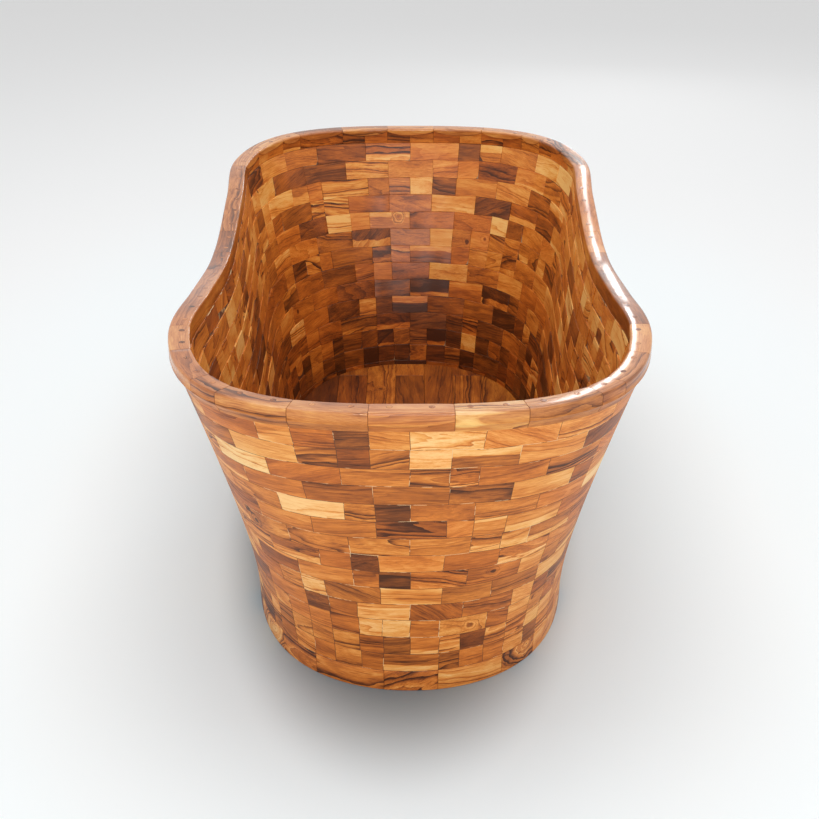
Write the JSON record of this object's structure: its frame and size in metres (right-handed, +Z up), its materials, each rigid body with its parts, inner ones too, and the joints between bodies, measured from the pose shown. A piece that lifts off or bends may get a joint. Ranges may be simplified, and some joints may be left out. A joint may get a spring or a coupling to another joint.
{
  "type": "wooden bathtub",
  "caption": "Free-standing oval wooden tub with flared walls of small glued blocks, a moulded coping rim dipping at mid-length, a boarded floor and a lift-up waste plug.",
  "frame": {"origin": "centre of the foot ring's underside, on the floor of the room", "axes": "+Z up, +Y along the tub from its near end to its far end, +X to the right when looking along +Y"},
  "size_m": [0.8303, 1.7, 0.6461],
  "materials": {
    "wall_teak": "oiled and varnished teak blocks, satin",
    "foot_teak": "varnished teak with bold grain, satin",
    "rim_teak": "varnished teak, semi-gloss",
    "floor_teak": "varnished teak boards, satin",
    "plug_teak": "dark end-grain plugs, satin",
    "bearer_teak": "sawn teak",
    "screw_steel": "stainless steel",
    "waste_chrome": "polished chrome on brass",
    "nut_brass": "turned brass",
    "washer_rubber": "black rubber"
  },
  "bodies": {
    "tub": {"foot_ring": "foot_teak", "course_01": "wall_teak", "course_02": "wall_teak", "course_03": "wall_teak", "course_04": "wall_teak", "course_05": "wall_teak", "course_06": "wall_teak", "course_07": "wall_teak", "course_08": "wall_teak", "course_09": "wall_teak", "course_10": "wall_teak", "course_11": "wall_teak", "course_12": "wall_teak", "course_13": "wall_teak", "course_14": "wall_teak", "rim_near_end": "rim_teak", "rim_left_side": "rim_teak", "rim_far_end": "rim_teak", "rim_right_side": "rim_teak", "rim_screws": "screw_steel", "rim_plugs": "plug_teak", "floor_board_1": "floor_teak", "floor_board_2": "floor_teak", "floor_board_3": "floor_teak", "floor_board_4": "floor_teak", "floor_board_5": "floor_teak", "floor_board_6": "floor_teak", "floor_board_7": "floor_teak", "floor_bearers": "bearer_teak", "waste_body": "waste_chrome", "waste_floor_washer": "washer_rubber", "waste_nut_washer": "washer_rubber", "waste_nut": "nut_brass"},
    "plug": {"waste_plug": "waste_chrome", "waste_plug_ring": "washer_rubber", "waste_stem_clip": "screw_steel"}
  },
  "joints": [
    {"name": "plug_lift", "type": "slide", "parent": "tub", "child": "plug", "axis": [0, 0, 1], "range_m": [0, 0.009]}
  ]
}
